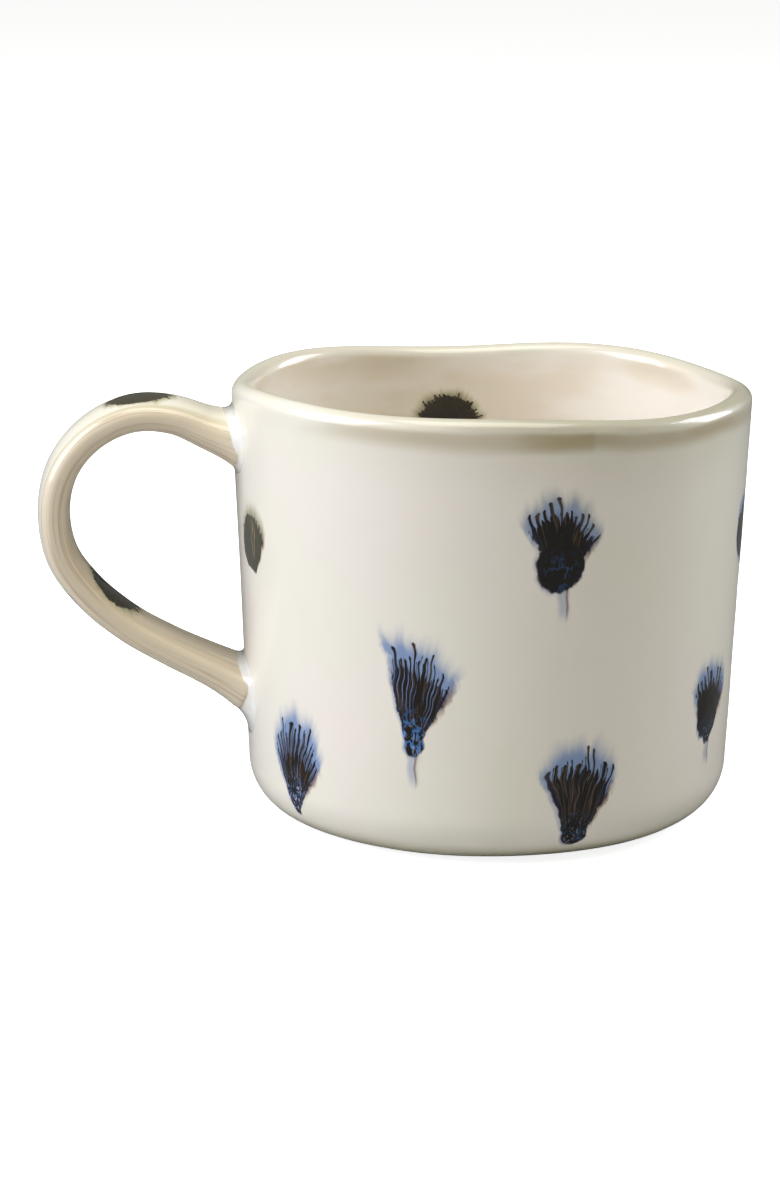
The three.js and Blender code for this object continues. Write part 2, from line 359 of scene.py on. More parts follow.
def tube_mesh(rings, closed):
    """A skin over rings of points: each ring is extruded from the last one and moved there."""
    bm = bmesh.new()
    bmesh.ops.create_circle(bm, segments=len(rings[0]), radius=1.0)
    bm.verts.ensure_lookup_table()
    loop = list(bm.verts)
    for vert, place in zip(loop, rings[0]):
        vert.co = place
    first = loop
    for ring in rings[1:]:
        edges = [bm.edges.get((a, b)) for a, b in zip(loop, loop[1:] + loop[:1])]
        made = bmesh.ops.extrude_edge_only(bm, edges=edges)["geom"]
        fresh = {v for v in made if isinstance(v, bmesh.types.BMVert)}
        following = []
        for vert in loop:
            partner = next(e.other_vert(vert) for e in vert.link_edges
                           if e.other_vert(vert) in fresh)
            following.append(partner)
        for vert, place in zip(following, ring):
            vert.co = place
        loop = following
    if closed:
        start = [bm.edges.get((a, b)) for a, b in zip(first, first[1:] + first[:1])]
        end = [bm.edges.get((a, b)) for a, b in zip(loop, loop[1:] + loop[:1])]
        bmesh.ops.bridge_loops(bm, edges=start + end)
    else:
        bm.faces.new(first)
        bm.faces.new(loop)
    bmesh.ops.recalc_face_normals(bm, faces=bm.faces)
    return bm


def strap_share(station):
    """How far along the made part of the strap a station lies, from 0 to 1."""
    return (station - STRAP_BURIED) / (STRAP.length - 2 * STRAP_BURIED)


def make_handle(material):
    rings = []
    span = STRAP.length - 2 * STRAP_BURIED
    for i in range(STRAP_RINGS + 1):
        station = STRAP_BURIED + span * i / STRAP_RINGS
        turns = [math.tau * side / STRAP_SIDES for side in range(STRAP_SIDES)]
        rings.append([strap_skin(turn, station) * MM for turn in turns])
    bm = tube_mesh(rings, closed=False)
    lay_strap_map(bm)
    return finish_piece("strap_handle", bm, material, "handle")


def lay_strap_map(bm):
    """Gives the strap a map of its own: u round the section and v along its length."""
    layer = bm.loops.layers.uv.new("strap")
    turn_of = {}
    for index, vert in enumerate(bm.verts):
        turn_of[vert] = (index % STRAP_SIDES) / STRAP_SIDES, index // STRAP_SIDES
    for face in bm.faces:
        turns = [turn_of[loop.vert][0] for loop in face.loops]
        wraps = max(turns) - min(turns) > 0.5
        for loop, turn in zip(face.loops, turns):
            ring = turn_of[loop.vert][1]
            u = turn + 1 if wraps and turn < 0.5 else turn
            loop[layer].uv = (u, ring / STRAP_RINGS)


# ---- welds ----

def gap_to_wall(place):
    """How far a point stands off the vessel's outer skin, measured from the axis."""
    theta = math.atan2(place.y, place.x)
    surface = skin(theta, station_at_height(place.z, inside=False))
    return math.hypot(place.x, place.y) - math.hypot(surface.x, surface.y)


def strap_meets_wall(turn, upper):
    """The station where the strap's skin at this turn enters the wall."""
    low, high = (0.0, ROOT_SEARCH) if upper else (STRAP.length - ROOT_SEARCH, STRAP.length)
    for _ in range(24):
        middle = (low + high) / 2
        outside = gap_to_wall(strap_skin(turn, middle)) > 0
        if outside == upper:
            high = middle
        else:
            low = middle
    return (low + high) / 2


def weld_section(turn, upper):
    """One slice of the fillet: from the strap's skin, in a hollow curve, to the wall's."""
    sign = 1 if upper else -1
    station = strap_meets_wall(turn, upper)
    corner = strap_skin(turn, station)
    sag = 0.0 if upper else max(0.0, math.sin(turn))
    spread = WELD_SPREAD + SAG_SPREAD * sag
    reach = WELD_REACH + SAG_REACH * sag
    on_strap = strap_skin(turn, station + sign * reach, WELD_SUNK)
    theta = math.atan2(corner.y, corner.x) + math.cos(turn) * spread / RIM_RADIUS
    wall_station = station_at_height(corner.z, inside=False) + sign * math.sin(turn) * spread
    on_wall = skin(theta, wall_station, WELD_SUNK)
    slice_points = []
    for i in range(WELD_STEPS + 1):
        t = i / WELD_STEPS
        slice_points.append((on_strap * (1 - t) ** 2 + corner * 2 * t * (1 - t)
                             + on_wall * t ** 2) * MM)
    buried = strap_skin(turn, station - sign * WELD_ROOT, WELD_ROOT_DEPTH)
    return slice_points + [buried * MM]


def make_weld(name, upper, material):
    rings = [weld_section(math.tau * side / WELD_SIDES, upper) for side in range(WELD_SIDES)]
    bm = tube_mesh(rings, closed=True)
    return finish_piece(name + "_fillet", bm, material, name)


# ---- dabs of glaze ----

def node_middle(node):
    """The middle of a CAD node's points, in millimetres."""
    points = [vert.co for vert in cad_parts[node].data.vertices]
    return sum(points, Vector()) / len(points) / MM


def wall_placer(node, inside):
    """Gives place(x, y, lift) for a dab on the wall, and the station of its middle."""
    middle = node_middle(node)
    theta = math.atan2(middle.y, middle.x)
    station = station_at_height(middle.z, inside)
    radius = SECTION.at(station).x
    way = -1 if inside else 1

    def place(x, y, lift):
        return skin(theta + way * x / radius, station + way * y, lift)

    return place, station, way


def strap_half_section():
    """Half the strap's section, from the middle of the outer face round its -Y edge."""
    points = []
    for i in range(181):
        turn = math.radians(90 - i)
        points.append((rounded(math.cos(turn)) * STRAP_WIDTH / 2,
                       rounded(math.sin(turn)) * STRAP_THICKNESS / 2))
    return Line(points)


STRAP_GIRTH = strap_half_section()


def strap_placer(node):
    """Gives place(x, y, lift) for a dab on a face of the strap, and spot(x, y) on its map."""
    middle = node_middle(node)
    stations = [STRAP.length * i / 400 for i in range(401)]
    flat = Vector((-middle.x, middle.z))
    station = min(stations, key=lambda s: (STRAP.at(s) - flat).length)
    away = -STRAP.square(station, 0.8)
    face = 1 if (flat - STRAP.at(station)).dot(away) > 0 else -1

    def turn_at(x):
        walked = abs(x) if face > 0 else STRAP_GIRTH.length - abs(x)
        at = STRAP_GIRTH.at(walked)
        rise = abs(2 * at.y / STRAP_THICKNESS) ** (STRAP_SQUARENESS / 2)
        reach = abs(2 * at.x / STRAP_WIDTH) ** (STRAP_SQUARENESS / 2)
        return math.atan2(math.copysign(rise, at.y), math.copysign(reach, x))

    def place(x, y, lift):
        at = station + face * y
        return strap_skin(turn_at(x), at, lift)

    def spot(x, y):
        at = station + face * y
        return turn_at(x) / math.tau, strap_share(at)

    return place, spot


def make_patch(node, look, place, station, way, material, spot=None):
    """A patch of skin for one dab, with its edge tucked just under the surface.

    A dab on the strap has spot(x, y), which says where the strap's own map puts the point.
    """
    half_wide, half_high = look["half_wide"], look["half_high"]

    def glazed(x, y):
        return place(x, y, relief(x, y, look))

    bm = bmesh.new()
    bm.loops.layers.uv.new("dab")
    bmesh.ops.create_grid(bm, x_segments=round(2 * half_wide / PATCH_STEP),
                          y_segments=round(2 * half_high / PATCH_STEP), size=1.0,
                          calc_uvs=True)
    if spot:
        strap_map = bm.loops.layers.uv.new("strap")
        for face in bm.faces:
            for loop in face.loops:
                loop[strap_map].uv = spot(loop.vert.co.x * half_wide,
                                          loop.vert.co.y * half_high)
    layer = bm.verts.layers.float.new("station")
    normals = []
    for vert in bm.verts:
        x, y = vert.co.x * half_wide, vert.co.y * half_high
        edge = max(abs(vert.co.x), abs(vert.co.y)) > 0.999
        along_x = glazed(x + PATCH_NUDGE, y) - glazed(x - PATCH_NUDGE, y)
        along_y = glazed(x, y + PATCH_NUDGE) - glazed(x, y - PATCH_NUDGE)
        normals.append(along_x.cross(along_y).normalized())
        lift = PATCH_DIP if edge else PATCH_LIFT + relief(x, y, look)
        vert.co = place(x, y, lift) * MM
        vert[layer] = station + way * y - LIP_TOP
    piece = finish_piece(node + "_glaze", bm, material, node)
    piece.data.normals_split_custom_set_from_vertices(normals)
    return piece


def relief(x, y, look):
    """How thick the glaze stands in the heart of a dab."""
    across = x / (0.62 * look["half_wide"])
    up = (y - look["heart"]) / (0.5 * look["half_high"])
    return look["thick"] * math.exp(-1.6 * (across ** 2 + up ** 2))


# ---- node building ----

class Nodes:
    """Short ways to add and join shader nodes in one tree."""

    def __init__(self, tree):
        self.tree = tree

    def put(self, socket, value):
        if isinstance(value, bpy.types.NodeSocket):
            self.tree.links.new(value, socket)
        elif isinstance(value, tuple) and len(value) == 3 and socket.type == "RGBA":
            socket.default_value = (*value, 1.0)
        else:
            socket.default_value = value

    def add(self, kind, **settings):
        node = self.tree.nodes.new(kind)
        for name, value in settings.items():
            setattr(node, name, value)
        return node

    def math(self, operation, a, b=0.0, clamp=False):
        node = self.add("ShaderNodeMath", operation=operation, use_clamp=clamp)
        self.put(node.inputs[0], a)
        self.put(node.inputs[1], b)
        return node.outputs[0]

    def plus(self, a, b):
        return self.math("ADD", a, b)

    def minus(self, a, b):
        return self.math("SUBTRACT", a, b)

    def times(self, a, b):
        return self.math("MULTIPLY", a, b)

    def over(self, a, b):
        return self.math("DIVIDE", a, b)

    def most(self, a, b):
        return self.math("MAXIMUM", a, b)

    def size(self, a):
        return self.math("ABSOLUTE", a)

    def ease(self, value, low, high):
        """0 below low and 1 above high, with soft ends; low may be above high."""
        node = self.add("ShaderNodeMapRange", interpolation_type="SMOOTHSTEP")
        if not isinstance(low, bpy.types.NodeSocket) and low > high:
            self.put(node.inputs["Value"], self.times(value, -1.0))
            low, high = -low, -high
        else:
            self.put(node.inputs["Value"], value)
        self.put(node.inputs["From Min"], low)
        self.put(node.inputs["From Max"], high)
        return node.outputs[0]

    def blend(self, share, a, b):
        node = self.add("ShaderNodeMix", data_type="RGBA")
        self.put(node.inputs[0], share)
        self.put(node.inputs[6], a)
        self.put(node.inputs[7], b)
        return node.outputs[2]

    def between(self, share, a, b):
        node = self.add("ShaderNodeMix", data_type="FLOAT")
        self.put(node.inputs[0], share)
        self.put(node.inputs[2], a)
        self.put(node.inputs[3], b)
        return node.outputs[0]

    def vector(self, x, y, z=0.0):
        node = self.add("ShaderNodeCombineXYZ")
        for socket, value in zip(node.inputs, (x, y, z)):
            self.put(socket, value)
        return node.outputs[0]

    def apart(self, vector):
        node = self.add("ShaderNodeSeparateXYZ")
        self.put(node.inputs[0], vector)
        return node.outputs

    def stretch(self, vector, scale):
        node = self.add("ShaderNodeVectorMath", operation="MULTIPLY")
        self.put(node.inputs[0], vector)
        self.put(node.inputs[1], scale)
        return node.outputs[0]

    def cloud(self, vector, scale=1.0, detail=2.0, roughness=0.5):
        """Noise from about 0.2 to 0.8."""
        node = self.add("ShaderNodeTexNoise")
        self.put(node.inputs["Vector"], vector)
        node.inputs["Scale"].default_value = scale
        node.inputs["Detail"].default_value = detail
        node.inputs["Roughness"].default_value = roughness
        return node.outputs[0]

    def chance(self, vector):
        """A random number from 0 to 1 for each different vector."""
        node = self.add("ShaderNodeTexWhiteNoise", noise_dimensions="3D")
        self.put(node.inputs["Vector"], vector)
        return node.outputs["Value"]

    def millimetres(self):
        """Object coordinates in millimetres."""
        node = self.add("ShaderNodeTexCoord")
        return self.stretch(node.outputs["Object"], (1 / MM, 1 / MM, 1 / MM))

    def from_lip(self):
        """Distance along the section from the top of the lip: negative outside."""
        node = self.add("ShaderNodeAttribute", attribute_name="station")
        return node.outputs["Fac"]

    def map(self, name):
        return self.add("ShaderNodeUVMap", uv_map=name).outputs[0]


def new_group(name, inputs, outputs):
    tree = bpy.data.node_groups.new(name, "ShaderNodeTree")
    for title in inputs:
        tree.interface.new_socket(title, in_out="INPUT", socket_type="NodeSocketFloat")
    for title, kind in outputs:
        tree.interface.new_socket(title, in_out="OUTPUT", socket_type=kind)
    n = Nodes(tree)
    given = n.add("NodeGroupInput").outputs
    result = n.add("NodeGroupOutput").inputs
    return tree, n, given, result


LOOK_OUTPUTS = (("Color", "NodeSocketColor"), ("Roughness", "NodeSocketFloat"),
                ("Height", "NodeSocketFloat"))


# ---- glazes ----

CREAM = (0.765, 0.727, 0.630)
CREAM_PINK = (0.780, 0.720, 0.645)
CREAM_GREEN = (0.705, 0.700, 0.570)
INSIDE_CREAM = (0.805, 0.755, 0.675)
INSIDE_TAN = (0.700, 0.585, 0.440)
RIM_TAN = (0.420, 0.345, 0.205)
RIM_OLIVE = (0.500, 0.475, 0.300)
RIM_GLASS = (0.420, 0.395, 0.300)
FRONT_OF_RIM = math.radians(-65)
# The bearing of the painted highlight on the lip's crest.
CREST_HIGHLIGHT_BEARING = math.radians(-145)
FRONT_TAN_START = math.radians(-94)
FRONT_TAN_END = math.radians(-74)
COAT = 0.55
COAT_ROUGHNESS = 0.06
BUMP_REACH = 0.00012


def toward(n, sides, bearing):
    """How far a point lies from the axis towards a bearing, in millimetres."""
    return n.plus(n.times(sides[0], math.cos(bearing)), n.times(sides[1], math.sin(bearing)))


def body_color(n, lip, drift, tint, smear):
    """The cream of the wall, and the warmer and more tan glaze inside."""
    outside = n.blend(n.ease(drift, 0.42, 0.62), CREAM, CREAM_PINK)
    outside = n.blend(n.times(n.ease(tint, 0.50, 0.75), 0.35), outside, CREAM_GREEN)
    inside = n.blend(n.times(n.ease(smear, 0.42, 0.66), 0.5), INSIDE_CREAM, INSIDE_TAN)
    return n.blend(n.ease(lip, 0.5, 3.0), outside, inside)


def rim_color(n, body, sides, lip, smear):
    """The glaze draws back from the lip, most at the front, and the clay warms it."""
    facing = n.ease(toward(n, sides, FRONT_OF_RIM), 6.0, 44.0)
    thin = n.plus(n.times(facing, 0.75), n.times(n.minus(smear, 0.45), 0.9))
    thin = n.most(thin, 0.06)
    drawn = n.plus(n.size(lip), n.times(n.minus(smear, 0.5), 3.0))
    veil = n.times(n.ease(drawn, 16.0, 2.5), n.times(thin, 0.32))
    color = n.blend(veil, body, RIM_OLIVE)

    # A band of bare tan under the lip, and a tan patch at the front that ends in a sharp edge.
    band = n.times(n.ease(drawn, 7.2, 4.4), n.ease(drawn, 2.2, 3.6))
    color = n.blend(n.times(band, n.times(thin, 0.90)), color, RIM_TAN)
    around = n.math("ARCTAN2", sides[1], sides[0])
    front_tan_patch = n.times(n.ease(around, FRONT_TAN_START, FRONT_TAN_END - 0.12),
                         n.ease(around, FRONT_TAN_END + 0.012, FRONT_TAN_END - 0.012))
    front_tan_patch = n.times(n.times(front_tan_patch, band), n.ease(lip, 0.0, -1.0))
    color = n.blend(n.times(front_tan_patch, 0.90), color, RIM_TAN)

    # The crest of the lip is glassy, and a painted highlight makes it paler on its left.
    crest = n.ease(drawn, 3.4, 1.6)
    pale = n.times(n.ease(toward(n, sides, CREST_HIGHLIGHT_BEARING), 22.0, 42.0), 0.40)
    crest_share = n.minus(n.between(facing, 0.50, 0.92), pale)
    return n.blend(n.times(crest, crest_share), color, RIM_GLASS)


def cream_glaze_group():
    """The glaze of wall, floor and lip: cream, warmer inside, tan where it runs thin, and with
    painted shade along the bottom edge.
    """
    tree, n, _, result = new_group("cream_glaze_look", (), LOOK_OUTPUTS)
    place = n.millimetres()
    sides = n.apart(place)
    lip = n.from_lip()
    drift = n.cloud(place, 1 / 34.0, 2.0)
    tint = n.cloud(n.stretch(place, (1.0, 1.0, 0.45)), 1 / 13.0, 3.0)
    smear = n.cloud(n.stretch(place, (1.0, 1.0, 3.0)), 1 / 22.0, 2.0)
    color = body_color(n, lip, drift, tint, smear)
    color = rim_color(n, color, sides, lip, smear)
    # Painted shade: the wall darkens to olive in its lowest few millimetres, where it meets the
    # floor.
    low_edge_shade = n.ease(sides[2], 4.2, 1.6)
    n.put(result["Color"], n.blend(n.times(low_edge_shade, 0.55), color, RIM_OLIVE))
    n.put(result["Roughness"], n.between(tint, 0.32, 0.44))
    n.put(result["Height"], n.plus(n.times(drift, 0.6), n.times(tint, 0.15)))
    return tree


def surface(name, look, coat=COAT, bump=0.25):
    """A glazed material: look(n) gives its colour, roughness and height sockets."""
    material = bpy.data.materials.new(name)
    material.use_nodes = True
    tree = material.node_tree
    n = Nodes(tree)
    shader = tree.nodes["Principled BSDF"]
    color, roughness, height = look(n)
    n.put(shader.inputs["Base Color"], color)
    n.put(shader.inputs["Roughness"], roughness)
    shader.inputs["Coat Weight"].default_value = coat
    shader.inputs["Coat Roughness"].default_value = COAT_ROUGHNESS
    bumped = n.add("ShaderNodeBump")
    bumped.inputs["Strength"].default_value = bump
    bumped.inputs["Distance"].default_value = BUMP_REACH
    n.put(bumped.inputs["Height"], height)
    n.put(shader.inputs["Normal"], bumped.outputs[0])
    return material


def grouped(n, tree, **values):
    node = n.add("ShaderNodeGroup", node_tree=tree)
    for title, value in values.items():
        node.inputs[title.replace("_", " ")].default_value = value
    return node.outputs["Color"], node.outputs["Roughness"], node.outputs["Height"]


STRAP_CREAM = (0.760, 0.720, 0.620)
STRAP_TAN = (0.640, 0.530, 0.380)
STRAP_OLIVE = (0.470, 0.420, 0.270)
STRAP_BROWN = (0.330, 0.240, 0.150)
# The near-white painted on the welds as their highlight.
WELD_HIGHLIGHT_WHITE = (0.80, 0.785, 0.74)
CLAY = (0.52, 0.40, 0.28)
CLAY_DARK = (0.30, 0.21, 0.14)


def strap_look_group():
    """The handle's glaze: cream outside, tan and streaked along its sides and inner face."""
    tree, n, _, result = new_group("strap_glaze_look", (), LOOK_OUTPUTS)
    round_strap, along, _ = n.apart(n.map("strap"))
    turn = n.times(round_strap, math.tau)
    cosine, sine = n.math("COSINE", turn), n.math("SINE", turn)
    ring = n.vector(cosine, sine, n.times(along, 2.2))
    broad = n.cloud(n.stretch(ring, (1.6, 1.6, 1.0)), 1.0, 2.0)
    fine = n.cloud(n.stretch(ring, (7.0, 7.0, 1.2)), 1.0, 3.0, 0.6)
    height = n.plus(sine, n.times(n.minus(broad, 0.5), 0.5))
    tan_share = n.ease(height, 0.86, 0.42)
    inner = n.ease(height, -0.75, -0.97)
    ridge = n.times(n.ease(height, 0.84, 0.66), n.ease(height, 0.30, 0.56))
    color = n.blend(n.times(tan_share, 0.80), STRAP_CREAM, STRAP_TAN)
    color = n.blend(n.times(n.times(ridge, n.ease(broad, 0.30, 0.6)), 0.75), color, STRAP_OLIVE)
    color = n.blend(n.times(inner, 0.35), color, STRAP_CREAM)
    line = n.times(n.ease(fine, 0.50, 0.66), tan_share)
    color = n.blend(n.times(line, 0.42), color, STRAP_BROWN)
    n.put(result["Color"], color)
    n.put(result["Roughness"], n.between(fine, 0.30, 0.42))
    n.put(result["Height"], n.plus(broad, n.times(fine, 0.5)))
    return tree


def weld_look(n):
    place = n.millimetres()
    pool = n.cloud(place, 1 / 5.0, 2.0)
    # Painted highlight: the fillet is painted whiter than the wall's cream, in patches.
    color = n.blend(n.ease(pool, 0.45, 0.7), WELD_HIGHLIGHT_WHITE, CREAM)
    return color, n.between(pool, 0.18, 0.28), pool


def clay_look(n):
    place = n.millimetres()
    grain = n.cloud(place, 2.2, 4.0, 0.7)
    patch = n.cloud(place, 1 / 9.0, 3.0)
    color = n.blend(n.ease(grain, 0.45, 0.72), CLAY, CLAY_DARK)
    color = n.blend(n.times(n.ease(patch, 0.4, 0.65), 0.4), color, RIM_TAN)
    return color, n.between(grain, 0.75, 0.92), grain


# ---- the dabs' glaze ----

DAB_INPUTS = ("Half wide", "Half high", "Turn", "Focus x", "Focus y", "Lean", "Spread", "Reach",
              "Skew", "Sides", "Heel", "Fingers", "Core", "Seed", "Lobe x", "Lobe y",
              "Lobe size", "Blue", "Ash", "Brown", "Veins", "Pool", "Specks", "Amber", "Tail")
DARK = (0.011, 0.009, 0.007)
DARK_BROWN = (0.064, 0.040, 0.025)
NAVY = (0.012, 0.017, 0.045)
ASH = (0.085, 0.080, 0.052)
PALE_TAN = (0.420, 0.310, 0.180)
COBALT = (0.035, 0.070, 0.180)
SKY = (0.150, 0.245, 0.455)
MIST = (0.430, 0.460, 0.510)
OLIVE_MIST = (0.420, 0.390, 0.250)
VEIN = (0.140, 0.200, 0.400)
POOL_BLUE = (0.050, 0.170, 0.430)
RUST = (0.230, 0.120, 0.070)
PALE_AMBER = (0.560, 0.420, 0.260)
LAVENDER = (0.330, 0.370, 0.480)
SPECK = (0.400, 0.410, 0.600)
TAIL_RED = (0.160, 0.060, 0.055)


def dab_frame(n, given):
    """The dab's own polar frame: where a point lies across and along the fan."""
    u, v, _ = n.apart(n.map("dab"))
    flat_x = n.times(n.minus(u, 0.5), n.times(given["Half wide"], 2.0))
    flat_y = n.times(n.minus(v, 0.5), n.times(given["Half high"], 2.0))
    cosine, sine = n.math("COSINE", given["Turn"]), n.math("SINE", given["Turn"])
    x = n.minus(n.times(flat_x, cosine), n.times(flat_y, sine))
    y = n.plus(n.times(flat_x, sine), n.times(flat_y, cosine))
    seed = n.times(given["Seed"], 7.31)
    slow = n.minus(n.cloud(n.vector(n.times(x, 0.30), n.times(y, 0.20), seed), 1.0, 1.0), 0.5)
    quick = n.minus(n.cloud(n.vector(n.times(x, 1.5), n.times(y, 0.8), seed), 1.0, 2.0), 0.5)
    across, rise = n.minus(x, given["Focus x"]), n.minus(y, given["Focus y"])
    radius = n.math("SQRT", n.plus(n.times(across, across), n.times(rise, rise)))
    bearing = n.minus(n.math("ARCTAN2", across, rise), given["Lean"])
    t = n.over(n.plus(bearing, n.times(slow, 0.14)), given["Spread"])
    uneven = n.minus(n.cloud(n.vector(n.times(t, 1.5), seed, 3.0), 1.0, 1.0), 0.5)
    share = n.minus(1.0, n.times(n.times(t, t), given["Sides"]))
    share = n.plus(share, n.plus(n.times(t, given["Skew"]), n.times(uneven, 0.10)))
    run = n.over(radius, n.times(given["Reach"], share))
    return dict(x=x, y=y, seed=seed, slow=slow, quick=quick, radius=radius, t=t,
                far=n.size(t), run=run)


def strands(n, given, at, crowd, slim, first_tip, tip_range, shift):
    """One set of strands: its mask, and how far each point is from a strand's middle."""
    run = at["run"]
    waver = n.cloud(n.vector(n.times(at["t"], 2.2), n.times(run, 1.7),
                             n.plus(at["seed"], shift)), 1.0, 1.0)
    place = n.times(at["t"], n.times(given["Fingers"], 0.5 * crowd))
    place = n.plus(n.plus(place, shift), n.times(n.minus(waver, 0.5), 1.5))
    index = n.math("FLOOR", place)
    local = n.size(n.minus(n.math("FRACT", place), 0.5))
    chance = n.chance(n.vector(index, at["seed"]))
    other_chance = n.chance(n.vector(index, n.plus(at["seed"], 4.4)))
    tip = n.plus(first_tip, n.times(chance, tip_range))
    core_end = n.plus(given["Core"], n.times(n.minus(other_chance, 0.5), 0.12))
    slender = n.plus(slim, n.times(other_chance, slim * 0.6))
    half = n.between(n.ease(n.minus(run, core_end), -0.04, 0.07), 0.75, slender)
    bead = n.times(n.ease(n.size(n.minus(run, n.minus(tip, 0.02))), 0.035, 0.0), 0.07)
    taper = n.ease(n.minus(run, tip), 0.012, -0.03)
    edge = n.minus(n.times(n.plus(half, bead), taper), n.times(n.minus(1.0, taper), 0.2))
    return n.ease(n.minus(local, edge), 0.11, -0.11), local


def dark_parts(n, given, at):
    """The strands and the round pool of thick glaze, without their colour."""
    main, local = strands(n, given, at, 1.0, 0.15, 0.80, 0.19, 0.0)
    forked, _ = strands(n, given, at, 1.7, 0.08, 0.74, 0.17, 31.0)
    side = n.ease(n.plus(at["far"], n.times(at["quick"], 0.24)), 1.05, 0.95)
    heel_line = n.plus(at["radius"], n.times(at["quick"], 1.6))
    below = n.minus(heel_line, given["Heel"])
    heel = n.ease(below, -0.3, 0.35)
    fan = n.times(n.times(n.most(main, forked), side), heel)
    lobe_across = n.minus(at["x"], given["Lobe x"])
    lobe_rise = n.times(n.minus(at["y"], given["Lobe y"]), 0.92)
    away = n.math("SQRT", n.plus(n.times(lobe_across, lobe_across),
                                 n.times(lobe_rise, lobe_rise)))
    away = n.plus(away, n.plus(n.times(at["slow"], 2.0), n.times(at["quick"], 0.7)))
    lobe_edge = n.minus(away, given["Lobe size"])
    lobe = n.ease(lobe_edge, 0.28, -0.28)
    return n.most(fan, lobe), local, below, lobe_edge


def haze_color(n, given, at):
    """The haze of thin glaze between the strands and over their tips, and its strength."""
    stripes = n.times(at["t"], n.times(given["Fingers"], 0.42))
    plume = n.cloud(n.vector(stripes, n.times(at["run"], 0.9), at["seed"]), 1.0, 2.0)
    edge = n.plus(at["run"], n.times(n.minus(0.5, plume), 0.26))
    side = n.plus(at["far"], n.times(at["quick"], 0.3))
    strength = n.times(n.ease(edge, 1.12, 0.88), n.ease(side, 1.20, 0.98))
    strength = n.times(strength, n.ease(n.minus(at["run"], given["Core"]), -0.14, 0.02))
    tone = n.blend(n.ease(edge, 0.66, 0.84), COBALT, SKY)
    tone = n.blend(n.ease(edge, 0.86, 1.04), tone, MIST)
    grey = n.times(n.minus(1.0, given["Blue"]), 0.8)
    tone = n.blend(n.times(grey, n.ease(edge, 0.70, 0.98)), tone, OLIVE_MIST)
    plain = n.blend(n.ease(edge, 0.7, 1.0), DARK_BROWN, OLIVE_MIST)
    return n.blend(n.ease(given["Blue"], 0.0, 0.4), plain, tone), n.times(strength, 0.92)


def heart_color(n, given, at, local, lobe_edge):
    """The colour of the thick glaze: near black, with brown, blue and pale strands."""
    t, run, seed = at["t"], at["run"], at["seed"]
    fine = n.cloud(n.vector(n.times(t, n.times(given["Fingers"], 1.1)), n.times(run, 2.6),
                            n.plus(seed, 5.0)), 1.0, 2.0)
    broad = n.cloud(n.vector(n.times(t, 1.7), n.times(run, 1.9), n.plus(seed, 9.0)), 1.0, 1.0)
    in_fan = n.ease(lobe_edge, -0.9, 0.5)
    color = n.blend(given["Ash"], DARK, ASH)
    brown = n.times(n.times(n.ease(fine, 0.50, 0.64), n.ease(run, 0.25, 0.5)), given["Brown"])
    color = n.blend(n.times(brown, in_fan), color, DARK_BROWN)
    color = n.blend(n.times(n.times(n.ease(at["far"], 0.74, 0.98), in_fan), 0.6), color, NAVY)
    pale = n.times(n.ease(n.size(n.minus(t, 0.05)), 0.30, 0.05), n.ease(fine, 0.40, 0.60))
    pale = n.times(pale, n.times(n.ease(run, 0.22, 0.42), n.ease(run, 0.90, 0.62)))
    pale = n.times(n.times(pale, given["Ash"]), given["Amber"])
    color = n.blend(pale, color, PALE_TAN)
    seam = n.times(n.ease(local, 0.34, 0.47), n.ease(n.minus(run, given["Core"]), 0.14, 0.0))
    seam = n.times(seam, n.times(n.ease(broad, 0.44, 0.56), n.ease(run, 0.10, 0.28)))
    color = n.blend(n.times(n.times(seam, given["Veins"]), 0.85), color, VEIN)
    swirl = n.cloud(n.vector(n.times(at["x"], 0.75), n.times(at["y"], 0.34), seed), 1.0, 2.0)
    pool = n.times(n.ease(n.size(n.minus(swirl, 0.52)), 0.055, 0.010),
                   n.ease(run, 0.52, 0.20))
    color = n.blend(n.times(pool, given["Pool"]), color, POOL_BLUE)
    grains = n.cloud(n.vector(n.times(at["x"], 2.3), n.times(at["y"], 1.3), seed), 1.0, 1.0)
    specks = n.times(n.ease(grains, 0.56, 0.64), n.ease(run, 0.50, 0.16))
    color = n.blend(n.times(n.times(specks, given["Specks"]), 0.9), color, SPECK)
    return color, fine


